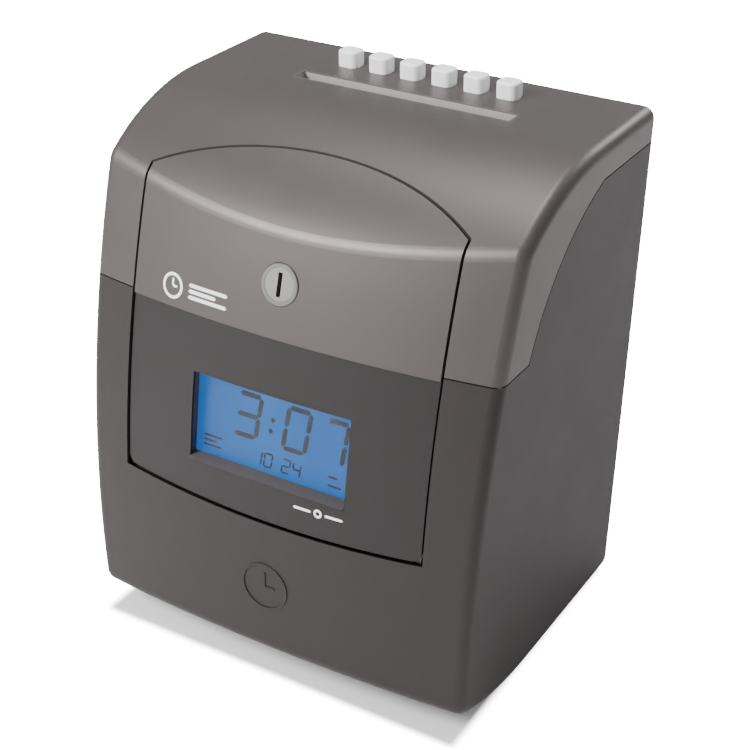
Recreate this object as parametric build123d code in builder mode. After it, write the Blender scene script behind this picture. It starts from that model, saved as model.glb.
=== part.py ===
"""Punch time clock: tapered two-piece housing, drop-down locking door with a display window,
six function keys behind the card slot, and the card feed and dot print mechanism inside.

Millimetres, +Z up, the feet stand on z = 0, the door faces -Y, the origin is under the centre."""
import os
from math import atan2, cos, degrees, hypot, pi, radians, sin, sqrt

from build123d import *

os.makedirs("parts", exist_ok=True)

# Case
FOOT_H = 2.0
CASE_TOP = 206.2
TOP_HALF_W = 86.25
SIDE_TAPER = 0.0153
BACK_Y = 68.6
WALL = 2.5
ROOF_FLAT_Y, ROOF_R = 19.5, 88.0
BELLY_Y, BELLY_R = -9.4, 131.0
FRONT_R, FRONT_CY, FRONT_CZ = 479.3, 410.6, 27.5
BOW_AXIS_Y = 451.0
CREASE_FILLET, NOSE_FILLET, BACK_FILLET, SIDE_FILLET = 9.0, 6.5, 5.0, 4.5

# Seam between hood and base
SEAM_Z = 144.4
SEAM_GROOVE_W, SEAM_GROOVE_D = 0.5, 0.9

# Door and its opening
DOOR_HALF_W = 64.2
DOOR_CORNER_Z, DOOR_SILL_Z = 75.8, 73.5
DOOR_CORNER_R = 4.0
ARCH_R, ARCH_APEX_Y = 132.8, -17.3
DOOR_GAP = 1.0
DOOR_T = 3.0
FLANGE_T, FLANGE_DEPTH = 5.0, 6.5
PIVOT_Y, PIVOT_Z, PIN_R = -58.3, 77.0, 1.25
PANEL_INSET, PANEL_BACK, PANEL_TOP_Z = 0.7, 1.8, 143.2

# Display window and screen
WINDOW_W, WINDOW_H, WINDOW_Z, WINDOW_TILT = 67.2, 34.1, 105.8, 9.5
BEZEL_T, BEZEL_DEPTH = 1.5, 7.2

# Door lock
LOCK_Z, LOCK_TILT = 162.15, 16.3
LOCK_HEAD_R, LOCK_BODY_R, PLUG_R, LOCK_LEN = 7.6, 7.0, 5.9, 19.0

# Card path; the slot and the key row share a centre line at TOP_X
TOP_X = 2.5
SLOT_Y, SLOT_HALF_W, SLOT_W, CHUTE_W = 29.2, 45.0, 6.9, 6.0
INSERT_RIM = 0.8
PLATE_T = 1.5
CHUTE_LOW, CHUTE_HIGH = 24.0, 186.0
INSERT_LOW = 190.7

# Function keys
KEY_Y, KEY_PITCH, KEY_COUNT = 48.1, 13.5, 6
KEY_W, KEY_D, KEY_RISE, KEY_CORNER = 8.4, 8.0, 6.0, 2.4
KEY_BOARD_Z, SWITCH_TOP = 186.0, 192.3

# Chassis
CHASSIS_X = 51.0
CHASSIS_FLOOR = 8.0

# Card feed
FEED_Y, FEED_Z, FEED_R, FEED_SHAFT_R = 21.0, 62.0, 8.0, 2.5
PINCH_R, PINCH_SHAFT_R = 6.0, 1.5
FEED_TEETH, IDLER_TEETH, PINION_TEETH = 36, 30, 12
IDLER_ANGLE, PINION_ANGLE = 220.0, 200.0
GEAR_X, GEAR_T = -60.0, 5.0

# Print head drive
HEAD_Z, ROD_Z, ROD_FRONT_Y, ROD_BACK_Y = 151.0, 136.0, -8.85, 7.15
BELT_X, BELT_Z, BELT_R = 40.0, 120.0, 6.0
RUN = 0.05


def front_y(z):
    """Y of the front face on the centre line at height z."""
    return FRONT_CY - sqrt(FRONT_R**2 - (z - FRONT_CZ) ** 2)


def case_block(inset, rounded=False):
    """The solid inside the case's outer faces moved inwards by inset."""
    with BuildPart() as block:
        with BuildSketch(Plane.YZ):
            with BuildLine():
                roof = CenterArc((ROOF_FLAT_Y, CASE_TOP - ROOF_R), ROOF_R - inset, 90, 55)
                belly = CenterArc((BELLY_Y, FOOT_H + BELLY_R), BELLY_R - inset, 270, -40)
                Line(roof @ 1, belly @ 1)
                back = BACK_Y - inset
                Polyline(roof @ 0, (back, CASE_TOP - inset), (back, FOOT_H + inset), belly @ 0)
            make_face()
        extrude(amount=120, both=True)
        with BuildSketch(Plane.XZ):
            high = TOP_HALF_W - inset + SIDE_TAPER * 20
            low = TOP_HALF_W - inset - SIDE_TAPER * (CASE_TOP + 20)
            with BuildLine():
                Polyline((-low, -20), (low, -20), (high, CASE_TOP + 20), (-high, CASE_TOP + 20), close=True)
            make_face()
        extrude(amount=200, both=True, mode=Mode.INTERSECT)
        with BuildSketch(Plane.YZ):
            radius = FRONT_R - inset
            ys = [2 * BOW_AXIS_Y - FRONT_CY + sqrt(radius**2 - (z - FRONT_CZ) ** 2) for z in (-20, 105, 230)]
            with BuildLine():
                face = ThreePointArc((ys[0], -20), (ys[1], 105), (ys[2], 230))
                Polyline(face @ 1, (BOW_AXIS_Y, 230), (BOW_AXIS_Y, -20), face @ 0)
            make_face()
        revolve(axis=Axis((0, BOW_AXIS_Y, 0), (0, 0, 1)), mode=Mode.INTERSECT)
        if rounded:
            cross = edges().filter_by(lambda e: abs(e.center().X) < 5 and e.length > 150)
            fillet(cross.filter_by(lambda e: e.center().Y < -30 and e.center().Z > 100), CREASE_FILLET)
            cross = edges().filter_by(lambda e: abs(e.center().X) < 5 and e.length > 150)
            fillet(cross.filter_by(lambda e: e.center().Y < -60 and e.center().Z < 50), NOSE_FILLET)
            cross = edges().filter_by(lambda e: abs(e.center().X) < 5 and e.length > 150)
            fillet(cross.filter_by(lambda e: e.center().Y > 60), BACK_FILLET)
            ends = faces().sort_by(Axis.X)
            fillet(ends[0].edges() + ends[-1].edges(), SIDE_FILLET)
    return block.part


def door_zone(gap):
    """Everything inside the door's outline grown by gap: straight sides, arched over the roof."""
    with BuildPart() as zone:
        with BuildSketch(Plane.XZ):
            half = DOOR_HALF_W + gap
            with BuildLine():
                sill = ThreePointArc(
                    (-half, DOOR_CORNER_Z - gap), (0, DOOR_SILL_Z - gap), (half, DOOR_CORNER_Z - gap)
                )
                Polyline(sill @ 1, (half, 260), (-half, 260), sill @ 0)
            make_face()
            fillet(vertices().sort_by(Axis.Y)[:2], DOOR_CORNER_R + gap)
        extrude(amount=120, both=True)
        with BuildSketch(Plane.XY):
            with Locations((0, ARCH_APEX_Y - ARCH_R)):
                Circle(ARCH_R + gap)
        extrude(amount=260, both=True, mode=Mode.INTERSECT)
    return zone.part


def hood_zone(inset):
    """Everything above the hood seam, which runs level at the front and sweeps up the sides."""
    with BuildPart() as zone:
        with BuildSketch(Plane.YZ):
            with BuildLine():
                low = Line((-110, SEAM_Z), (-27.0, SEAM_Z))
                sweep = ThreePointArc(low @ 1, (-8.4, 172.9), (24.1, 193.0))
                Polyline(sweep @ 1, (110, 193.0), (110, 260), (-110, 260), low @ 0)
            make_face()
            if inset:
                offset(amount=-inset, kind=Kind.INTERSECTION)
        extrude(amount=130, both=True)
    return zone.part


def tilted_plane(z, tilt):
    """Plane on the front face at height z, its normal pointing out and tilted up from level."""
    out = (0, -cos(radians(tilt)), sin(radians(tilt)))
    return Plane(origin=(0, front_y(z), z), x_dir=(1, 0, 0), z_dir=out)


def gear_profile(teeth, phase, bore):
    """Spur gear outline of module 1 with a tooth centred on the phase angle, inside a sketch."""
    pitch = teeth / 2
    half = 0.40 * pi / 2
    Circle(pitch - 1.25)
    with PolarLocations(0, teeth, start_angle=phase):
        Polygon(
            (pitch - 1.6, -half - 0.45),
            (pitch, -half),
            (pitch + 0.9, -half + 0.33),
            (pitch + 0.9, half - 0.33),
            (pitch, half),
            (pitch - 1.6, half + 0.45),
            align=None,
        )
    Circle(bore, mode=Mode.SUBTRACT)


WINDOW_PLANE = tilted_plane(WINDOW_Z, WINDOW_TILT)
LOCK_PLANE = tilted_plane(LOCK_Z, LOCK_TILT)
OUTER = case_block(0, rounded=True)
INNER = case_block(WALL)
OPENING = door_zone(DOOR_GAP)

# Frame that returns inwards around the door opening
with BuildPart() as door_frame:
    add(OUTER)
    add(case_block(FLANGE_DEPTH), mode=Mode.SUBTRACT)
    add(door_zone(DOOR_GAP + FLANGE_T), mode=Mode.INTERSECT)
    add(OPENING, mode=Mode.SUBTRACT)

# Wall of the whole case with the door opening cut out
with BuildPart() as case_wall:
    add(OUTER)
    add(INNER, mode=Mode.SUBTRACT)
    add(OPENING, mode=Mode.SUBTRACT)
    add(door_frame.part)

# Shallow groove along the seam, cut into the hood's lower edge
with BuildPart() as seam_groove:
    add(hood_zone(0))
    add(hood_zone(SEAM_GROOVE_W), mode=Mode.SUBTRACT)
    add(case_block(SEAM_GROOVE_D), mode=Mode.SUBTRACT)

# Space swept by the bowed lower edge of the door as it turns on its pins
with BuildPart() as sill_sweep:
    with BuildSketch(Plane.XY.offset(PIVOT_Z)):
        reach = DOOR_HALF_W + DOOR_GAP
        with BuildLine():
            bulge = ThreePointArc((-reach, PIVOT_Y - 4.5), (0, PIVOT_Y - 9.2), (reach, PIVOT_Y - 4.5))
            Polyline(bulge @ 1, (reach, PIVOT_Y), (-reach, PIVOT_Y), bulge @ 0)
        make_face()
    revolve(axis=Axis((0, PIVOT_Y, PIVOT_Z), (1, 0, 0)))

# --- hood ---
with BuildPart() as hood:
    add(case_wall.part)
    add(hood_zone(0), mode=Mode.INTERSECT)
    add(seam_groove.part, mode=Mode.SUBTRACT)
    with BuildSketch(Plane.XY.offset(CASE_TOP - WALL)):
        with Locations((TOP_X, SLOT_Y)):
            Rectangle(2 * SLOT_HALF_W + 2 * INSERT_RIM, SLOT_W + 2 * INSERT_RIM)
        with Locations((TOP_X, KEY_Y)), GridLocations(KEY_PITCH, 0, KEY_COUNT, 1):
            RectangleRounded(KEY_W + 0.6, KEY_D + 0.6, KEY_CORNER + 0.3)
    extrude(amount=WALL + 1, mode=Mode.SUBTRACT)
    with BuildSketch(Plane.XY.offset(KEY_BOARD_Z + 1.6)):
        with Locations((TOP_X, KEY_Y + 2.7)), GridLocations(87, 15, 2, 2):
            Circle(2.2)
    extrude(amount=CASE_TOP - WALL - KEY_BOARD_Z - 1.6)
hood.part.label = "hood"
export_step(hood.part, "parts/hood.step")

# --- base shell ---
COVER_W, COVER_H, COVER_Z = 145.6, 165.6, 100.0
FOOT_POINTS = [(-62, -22), (62, -22), (-62, 54), (62, 54)]
SCREW_POINTS = [(-66, 26), (66, 26), (-66, 174), (66, 174)]
with BuildPart() as base_shell:
    add(case_wall.part)
    add(hood_zone(0), mode=Mode.SUBTRACT)
    add(sill_sweep.part, mode=Mode.SUBTRACT)
    # hinge pin holes in the frame beside the door
    with BuildSketch(Plane.YZ.offset(-DOOR_HALF_W - 6)):
        with Locations((PIVOT_Y, PIVOT_Z)):
            Circle(PIN_R + RUN)
    extrude(amount=2 * DOOR_HALF_W + 12, mode=Mode.SUBTRACT)
    # rear opening with a rebate for the cover
    with BuildSketch(Plane.XZ.offset(-BACK_Y)):
        with Locations((0, COVER_Z)):
            Rectangle(COVER_W + 0.4, COVER_H + 0.4)
    extrude(amount=1.2, mode=Mode.SUBTRACT)
    with BuildSketch(Plane.XZ.offset(-BACK_Y)):
        with Locations((0, COVER_Z)):
            Rectangle(COVER_W - 5.6, COVER_H - 5.6)
    extrude(amount=WALL + 1, mode=Mode.SUBTRACT)
    # screw blocks for the rear cover
    with BuildSketch(Plane.XZ.offset(-BACK_Y + WALL)):
        for x, z in SCREW_POINTS:
            side = 1 if x > 0 else -1
            with Locations((side * 71.0, z)):
                Rectangle(19, 10)
    extrude(amount=9)
    with BuildSketch(Plane.XZ.offset(-BACK_Y + WALL)):
        with Locations(*SCREW_POINTS):
            Circle(1.45)
    extrude(amount=8, mode=Mode.SUBTRACT)
    # flat pads for the feet and posts for the chassis floor
    with BuildSketch(Plane.XY.offset(FOOT_H)):
        with Locations(*FOOT_POINTS):
            Circle(9)
    extrude(amount=3.0)
    with BuildSketch(Plane.XY.offset(FOOT_H)):
        with Locations(*FOOT_POINTS):
            Circle(2.05)
    extrude(amount=5.0, mode=Mode.SUBTRACT)
    with BuildSketch(Plane.XY.offset(FOOT_H + 1.5)):
        with Locations((0, 15)), GridLocations(80, 60, 2, 2):
            Circle(4)
    extrude(amount=CHASSIS_FLOOR - FOOT_H - 1.5)
base_shell.part.label = "base_shell"
export_step(base_shell.part, "parts/base_shell.step")

# --- rear cover with wall keyholes, cooling slots and the power opening ---
JACK_X, JACK_Z = -62.0, 40.0
with BuildPart() as rear_cover:
    with BuildSketch(Plane.XZ.offset(-BACK_Y)):
        with Locations((0, COVER_Z)):
            RectangleRounded(COVER_W, COVER_H, 1.0)
    extrude(amount=1.2)
    with BuildSketch(Plane.XZ.offset(-BACK_Y + 1.2)):
        with Locations((0, COVER_Z)):
            Rectangle(COVER_W - 6.0, COVER_H - 6.0)
    extrude(amount=WALL - 1.2)
    with BuildSketch(Plane.XZ.offset(-BACK_Y)):
        with Locations((-50, 150), (50, 150)):
            Circle(4.5)
        with Locations((-50, 154), (50, 154)):
            SlotOverall(14, 4.4, rotation=90)
        with Locations((0, 120)), GridLocations(0, 6, 1, 5):
            SlotOverall(60, 2.5)
        with Locations((JACK_X, JACK_Z)):
            Circle(4.0)
        with Locations(*SCREW_POINTS):
            Circle(1.6)
    extrude(amount=WALL, mode=Mode.SUBTRACT)
    with BuildSketch(Plane.XZ.offset(-BACK_Y)):
        with Locations(*SCREW_POINTS):
            Circle(3.2)
    extrude(amount=1.5, mode=Mode.SUBTRACT)
rear_cover.part.label = "rear_cover"
export_step(rear_cover.part, "parts/rear_cover.step")

# --- rear cover screws ---
with BuildPart() as cover_screws:
    with BuildSketch(Plane.XZ.offset(-BACK_Y + 1.5)):
        with Locations(*SCREW_POINTS):
            Circle(1.4)
    extrude(amount=8)
    with BuildSketch(Plane.XZ.offset(-BACK_Y + 0.2)):
        with Locations(*SCREW_POINTS):
            Circle(3.0)
    extrude(amount=1.3)
    with BuildSketch(Plane.XZ.offset(-BACK_Y + 0.2)):
        with Locations(*SCREW_POINTS):
            Rectangle(4.2, 0.7)
            Rectangle(0.7, 4.2)
    extrude(amount=0.7, mode=Mode.SUBTRACT)
cover_screws.part.label = "cover_screws"
export_step(cover_screws.part, "parts/cover_screws.step")

# --- rubber feet ---
with BuildPart() as rubber_feet:
    with BuildSketch(Plane.XY):
        with Locations(*FOOT_POINTS):
            Circle(7.5)
    extrude(amount=FOOT_H)
    fillet(edges().group_by(Axis.Z)[0], 0.6)
    with BuildSketch(Plane.XY.offset(FOOT_H)):
        with Locations(*FOOT_POINTS):
            Circle(2.0)
    extrude(amount=3.5)
rubber_feet.part.label = "rubber_feet"
export_step(rubber_feet.part, "parts/rubber_feet.step")

# --- card slot insert, a funnel that guides the card down ---
with BuildPart() as slot_insert:
    with BuildSketch(Plane.XY.offset(CASE_TOP)):
        with Locations((TOP_X, SLOT_Y)):
            Rectangle(2 * SLOT_HALF_W + 2 * INSERT_RIM, SLOT_W + 2 * INSERT_RIM)
    extrude(amount=INSERT_LOW - CASE_TOP)
    with BuildSketch(Plane.XY.offset(CASE_TOP - WALL)):
        with Locations((TOP_X, SLOT_Y)):
            Rectangle(2 * SLOT_HALF_W + 6, SLOT_W + 6)
    extrude(amount=-2)
    with BuildSketch(Plane.XY.offset(CASE_TOP)):
        with Locations((TOP_X, SLOT_Y)):
            Rectangle(2 * SLOT_HALF_W, SLOT_W)
    with BuildSketch(Plane.XY.offset(INSERT_LOW)):
        with Locations((TOP_X, SLOT_Y)):
            Rectangle(2 * SLOT_HALF_W - 2, CHUTE_W)
    loft(mode=Mode.SUBTRACT)
slot_insert.part.label = "slot_insert"
export_step(slot_insert.part, "parts/slot_insert.step")

# --- function keys ---
for number in range(KEY_COUNT):
    key_x = TOP_X + (number - (KEY_COUNT - 1) / 2) * KEY_PITCH
    with BuildPart() as key:
        with BuildSketch(Plane.XY.offset(CASE_TOP - WALL - 1.7)):
            with Locations((key_x, KEY_Y)):
                RectangleRounded(KEY_W, KEY_D, KEY_CORNER)
        extrude(amount=KEY_RISE + WALL + 1.7)
        fillet(faces().sort_by(Axis.Z)[-1].edges(), 0.9)
        with BuildSketch(Plane.XY.offset(CASE_TOP - WALL - 0.1)):
            with Locations((key_x, KEY_Y)):
                Rectangle(KEY_W + 2, KEY_D + 2)
        extrude(amount=-1.6)
        with BuildSketch(Plane.XY.offset(SWITCH_TOP + 2.0)):
            with Locations((key_x, KEY_Y)):
                Rectangle(4, 1.2)
                Rectangle(1.2, 4)
        extrude(amount=CASE_TOP - WALL - 1.7 - SWITCH_TOP - 2.0)
    key.part.label = f"key_{number + 1}"
    export_step(key.part, f"parts/key_{number + 1}.step")

# --- key circuit board ---
with BuildPart() as key_board:
    with BuildSketch(Plane.XY.offset(KEY_BOARD_Z)):
        with Locations((TOP_X, KEY_Y + 1.2)):
            Rectangle(93, 22)
    extrude(amount=1.6)
key_board.part.label = "key_board"
export_step(key_board.part, "parts/key_board.step")

# --- push switches under the keys ---
with BuildPart() as tact_switches:
    with BuildSketch(Plane.XY.offset(KEY_BOARD_Z + 1.6)):
        with Locations((TOP_X, KEY_Y)), GridLocations(KEY_PITCH, 0, KEY_COUNT, 1):
            Rectangle(6, 6)
    extrude(amount=3.5)
    with BuildSketch(Plane.XY.offset(KEY_BOARD_Z + 5.1)):
        with Locations((TOP_X, KEY_Y)), GridLocations(KEY_PITCH, 0, KEY_COUNT, 1):
            Circle(1.7)
    extrude(amount=SWITCH_TOP - KEY_BOARD_Z - 5.1)
tact_switches.part.label = "tact_switches"
export_step(tact_switches.part, "parts/tact_switches.step")

# --- door shell ---
with BuildPart() as door_shell:
    add(OUTER)
    add(case_block(DOOR_T), mode=Mode.SUBTRACT)
    add(door_zone(0), mode=Mode.INTERSECT)
    # stiffening rib just inside the outline
    with BuildPart(mode=Mode.PRIVATE) as rib:
        add(case_block(DOOR_T - 0.5))
        add(case_block(DOOR_T + 2.0), mode=Mode.SUBTRACT)
        add(door_zone(-1.5), mode=Mode.INTERSECT)
        add(door_zone(-3.5), mode=Mode.SUBTRACT)
    add(rib.part)
    # recess for the display panel over the lower part
    with BuildPart(mode=Mode.PRIVATE) as lower_skin:
        with BuildSketch(Plane.XY):
            with Locations((0, -60)):
                Rectangle(200, 120)
        extrude(amount=PANEL_TOP_Z)
        add(case_block(PANEL_BACK), mode=Mode.SUBTRACT)
    add(lower_skin.part, mode=Mode.SUBTRACT)
    # ears around the hinge pins
    with BuildPart(mode=Mode.PRIVATE) as ears:
        with BuildSketch(Plane.YZ.offset(-DOOR_HALF_W + 0.4)):
            with Locations((PIVOT_Y, PIVOT_Z)):
                Circle(3.2)
        extrude(amount=2 * DOOR_HALF_W - 0.8)
        with BuildSketch(Plane.YZ.offset(-DOOR_HALF_W + 7)):
            with Locations((PIVOT_Y, PIVOT_Z)):
                Circle(3.2)
        extrude(amount=2 * DOOR_HALF_W - 14, mode=Mode.SUBTRACT)
        add(case_block(PANEL_BACK), mode=Mode.INTERSECT)
    add(ears.part)
    with BuildSketch(Plane.YZ.offset(-DOOR_HALF_W - 1)):
        with Locations((PIVOT_Y, PIVOT_Z)):
            Circle(PIN_R)
    extrude(amount=2 * DOOR_HALF_W + 2, mode=Mode.SUBTRACT)
    # window and lock openings
    with BuildSketch(WINDOW_PLANE.offset(5)):
        RectangleRounded(WINDOW_W + 2 * BEZEL_T + 0.4, WINDOW_H + 2 * BEZEL_T + 0.4, 1.6)
    extrude(amount=-20, mode=Mode.SUBTRACT)
    with BuildSketch(LOCK_PLANE.offset(-10)):
        Circle(LOCK_BODY_R + 0.1)
    extrude(amount=20, mode=Mode.SUBTRACT)
    with BuildSketch(LOCK_PLANE.offset(-1.3)):
        Circle(LOCK_HEAD_R + 0.15)
    extrude(amount=20, mode=Mode.SUBTRACT)
door_shell.part.label = "door_shell"
export_step(door_shell.part, "parts/door_shell.step")

# --- display panel over the lower part of the door ---
with BuildPart() as display_panel:
    add(case_block(PANEL_INSET))
    add(case_block(PANEL_BACK), mode=Mode.SUBTRACT)
    add(door_zone(0), mode=Mode.INTERSECT)
    split(bisect_by=Plane.XY.offset(PANEL_TOP_Z - 0.15), keep=Keep.BOTTOM)
    with BuildSketch(WINDOW_PLANE.offset(5)):
        RectangleRounded(WINDOW_W, WINDOW_H, 0.8)
    extrude(amount=-20, mode=Mode.SUBTRACT)
display_panel.part.label = "display_panel"
export_step(display_panel.part, "parts/display_panel.step")

# --- window bezel, the walls of the deep window ---
with BuildPart() as window_bezel:
    with BuildSketch(WINDOW_PLANE.offset(3)):
        RectangleRounded(WINDOW_W + 2 * BEZEL_T, WINDOW_H + 2 * BEZEL_T, 1.5)
        RectangleRounded(WINDOW_W, WINDOW_H, 0.8, mode=Mode.SUBTRACT)
    extrude(amount=-3 - BEZEL_DEPTH)
    with BuildSketch(WINDOW_PLANE.offset(-BEZEL_DEPTH)):
        Rectangle(WINDOW_W + 1.6, WINDOW_H + 1.6)
    extrude(amount=1.5, mode=Mode.SUBTRACT)
    add(case_block(PANEL_BACK), mode=Mode.INTERSECT)
window_bezel.part.label = "window_bezel"
export_step(window_bezel.part, "parts/window_bezel.step")

# --- clear window lens ---
with BuildPart() as display_lens:
    with BuildSketch(WINDOW_PLANE.offset(-BEZEL_DEPTH)):
        Rectangle(WINDOW_W + 1.4, WINDOW_H + 1.4)
    extrude(amount=1.4)
display_lens.part.label = "display_lens"
export_step(display_lens.part, "parts/display_lens.step")

# --- door hinge pins ---
with BuildPart() as hinge_pins:
    with BuildSketch(Plane.YZ.offset(DOOR_HALF_W - 7)):
        with Locations((PIVOT_Y, PIVOT_Z)):
            Circle(PIN_R)
    extrude(amount=10.5)
    mirror(about=Plane.YZ)
hinge_pins.part.label = "hinge_pins"
export_step(hinge_pins.part, "parts/hinge_pins.step")

# --- lock body ---
with BuildPart() as lock_body:
    with BuildSketch(LOCK_PLANE.offset(0.5)):
        Circle(LOCK_HEAD_R)
    extrude(amount=-1.7)
    chamfer(edges().sort_by(Axis.Y)[:1], 0.3)
    with BuildSketch(LOCK_PLANE.offset(-1.2)):
        Circle(LOCK_BODY_R)
    extrude(amount=1.2 - LOCK_LEN)
    with BuildSketch(LOCK_PLANE.offset(1)):
        Circle(PLUG_R + RUN)
    extrude(amount=-LOCK_LEN - 2, mode=Mode.SUBTRACT)
lock_body.part.label = "lock_body"
export_step(lock_body.part, "parts/lock_body.step")

# --- lock nut ---
with BuildPart() as lock_nut:
    with BuildSketch(LOCK_PLANE.offset(-4.2)):
        RegularPolygon(9, 6, major_radius=False)
        Circle(LOCK_BODY_R + 0.05, mode=Mode.SUBTRACT)
    extrude(amount=-3)
lock_nut.part.label = "lock_nut"
export_step(lock_nut.part, "parts/lock_nut.step")

# --- lock plug with keyway ---
with BuildPart() as lock_plug:
    with BuildSketch(LOCK_PLANE.offset(0.4)):
        Circle(PLUG_R)
    extrude(amount=-0.4 - LOCK_LEN - 0.2)
    with BuildSketch(LOCK_PLANE.offset(0.4)):
        Rectangle(1.7, 8.7)
    extrude(amount=-6, mode=Mode.SUBTRACT)
    with BuildSketch(LOCK_PLANE.offset(-LOCK_LEN - 0.2)):
        Circle(3.0)
    extrude(amount=-3.4)
lock_plug.part.label = "lock_plug"
export_step(lock_plug.part, "parts/lock_plug.step")

# --- lock cam ---
with BuildPart() as lock_cam:
    with BuildSketch(LOCK_PLANE.offset(-LOCK_LEN - 0.6)):
        with Locations((6.5, 0)):
            RectangleRounded(23, 10, 3)
        Circle(3.0, mode=Mode.SUBTRACT)
    extrude(amount=-1.6)
lock_cam.part.label = "lock_cam"
export_step(lock_cam.part, "parts/lock_cam.step")

# --- latch keeper: top brace between the side plates with a hooked lip for the cam ---
with BuildPart() as latch_keeper:
    with BuildSketch(Plane.XY.offset(181.5)):
        with Locations((0, -21.5)):
            Rectangle(2 * CHASSIS_X - 0.2, 15)
    extrude(amount=1.5)
    with BuildSketch(Plane.XY.offset(181.5)):
        with Locations((0, -28.25)):
            Rectangle(28, 1.5)
    extrude(amount=-12)
latch_keeper.part.label = "latch_keeper"
export_step(latch_keeper.part, "parts/latch_keeper.step")

# --- chassis side plates ---
PINCH_Y = SLOT_Y + 0.2 + PINCH_R
IDLER_C = (
    FEED_Y + (FEED_TEETH + IDLER_TEETH) / 2 * cos(radians(IDLER_ANGLE)),
    FEED_Z + (FEED_TEETH + IDLER_TEETH) / 2 * sin(radians(IDLER_ANGLE)),
)
PINION_C = (
    IDLER_C[0] + (IDLER_TEETH + PINION_TEETH) / 2 * cos(radians(PINION_ANGLE)),
    IDLER_C[1] + (IDLER_TEETH + PINION_TEETH) / 2 * sin(radians(PINION_ANGLE)),
)


def side_plate(x, left):
    """Folded-edge side plate of the chassis, with the drive holes on the left one."""
    with BuildPart() as plate:
        with BuildSketch(Plane.YZ.offset(x)):
            with BuildLine():
                Polyline(
                    (62, CHASSIS_FLOOR), (62, 184), (-22, 184), (-29, 180), (-29, 150),
                    (-43, 128), (-50, 84), (-50, 38), (-30, CHASSIS_FLOOR), close=True,
                )
            make_face()
            with Locations((FEED_Y, FEED_Z)):
                Circle(4.0, mode=Mode.SUBTRACT)
            with Locations((ROD_BACK_Y, ROD_Z), (ROD_FRONT_Y, ROD_Z)):
                Circle(2.5, mode=Mode.SUBTRACT)
            if left:
                with Locations(IDLER_C):
                    Circle(2.0, mode=Mode.SUBTRACT)
                with Locations(PINION_C):
                    Circle(5.0, mode=Mode.SUBTRACT)
        extrude(amount=PLATE_T)
    return plate.part


with BuildPart() as side_plate_left:
    add(side_plate(-CHASSIS_X - PLATE_T, True))
side_plate_left.part.label = "side_plate_left"
export_step(side_plate_left.part, "parts/side_plate_left.step")

with BuildPart() as side_plate_right:
    add(side_plate(CHASSIS_X, False))
side_plate_right.part.label = "side_plate_right"
export_step(side_plate_right.part, "parts/side_plate_right.step")

# --- chassis floor ---
with BuildPart() as chassis_base:
    with BuildSketch(Plane.XY.offset(CHASSIS_FLOOR)):
        with Locations((0, 17.5)):
            Rectangle(2 * CHASSIS_X - 0.2, 87)
        with Locations((0, 15)), GridLocations(80, 60, 2, 2):
            Circle(1.6, mode=Mode.SUBTRACT)
    extrude(amount=PLATE_T)
    for x in (-CHASSIS_X + 0.1, CHASSIS_X - 0.1 - PLATE_T):
        with BuildSketch(Plane.YZ.offset(x)):
            with Locations((17.5, CHASSIS_FLOOR + 5)):
                Rectangle(87, 10)
        extrude(amount=PLATE_T)
chassis_base.part.label = "chassis_base"
export_step(chassis_base.part, "parts/chassis_base.step")

# --- card chute plates ---
CHUTE_FRONT_Y = SLOT_Y - CHUTE_W / 2
CHUTE_BACK_Y = SLOT_Y + CHUTE_W / 2
with BuildPart() as chute_front:
    with BuildSketch(Plane.XZ.offset(-CHUTE_FRONT_Y)):
        with Locations((0, (CHUTE_LOW + CHUTE_HIGH) / 2)):
            Rectangle(2 * CHASSIS_X - 0.2, CHUTE_HIGH - CHUTE_LOW)
        with Locations((-25, FEED_Z), (25, FEED_Z)):
            Rectangle(12, 16, mode=Mode.SUBTRACT)
        with Locations((0, HEAD_Z)):
            RectangleRounded(78, 12, 2, mode=Mode.SUBTRACT)
    extrude(amount=PLATE_T)
    for x in (-CHASSIS_X + 0.1, CHASSIS_X - 0.1 - PLATE_T):
        with BuildSketch(Plane.YZ.offset(x)):
            with Locations((CHUTE_FRONT_Y - 5, 110)):
                Rectangle(10, 70)
        extrude(amount=PLATE_T)
chute_front.part.label = "chute_front"
export_step(chute_front.part, "parts/chute_front.step")

with BuildPart() as chute_back:
    with BuildSketch(Plane.XZ.offset(-CHUTE_BACK_Y)):
        with Locations((0, (CHUTE_LOW + CHUTE_HIGH) / 2)):
            Rectangle(2 * CHASSIS_X - 0.2, CHUTE_HIGH - CHUTE_LOW)
        with Locations((0, FEED_Z)):
            Rectangle(84, 18, mode=Mode.SUBTRACT)
        with Locations((0, HEAD_Z)):
            Rectangle(80.4, 10.4, mode=Mode.SUBTRACT)
    extrude(amount=-PLATE_T)
    for x in (-CHASSIS_X + 0.1, CHASSIS_X - 0.1 - PLATE_T):
        with BuildSketch(Plane.YZ.offset(x)):
            with Locations((CHUTE_BACK_Y + 5, 110)):
                Rectangle(10, 70)
        extrude(amount=PLATE_T)
chute_back.part.label = "chute_back"
export_step(chute_back.part, "parts/chute_back.step")

# --- stop bar at the foot of the card path ---
with BuildPart() as card_stop:
    with BuildSketch(Plane.XY.offset(CHUTE_LOW)):
        with Locations((0, SLOT_Y)):
            Rectangle(2 * SLOT_HALF_W, CHUTE_W)
    extrude(amount=4)
card_stop.part.label = "card_stop"
export_step(card_stop.part, "parts/card_stop.step")

# --- feed shaft, rollers and gear ---
with BuildPart() as feed_shaft:
    with BuildSketch(Plane.YZ.offset(GEAR_X - 1.5)):
        with Locations((FEED_Y, FEED_Z)):
            Circle(FEED_SHAFT_R)
    extrude(amount=CHASSIS_X + PLATE_T + 2 - GEAR_X + 1.5)
feed_shaft.part.label = "feed_shaft"
export_step(feed_shaft.part, "parts/feed_shaft.step")

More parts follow.
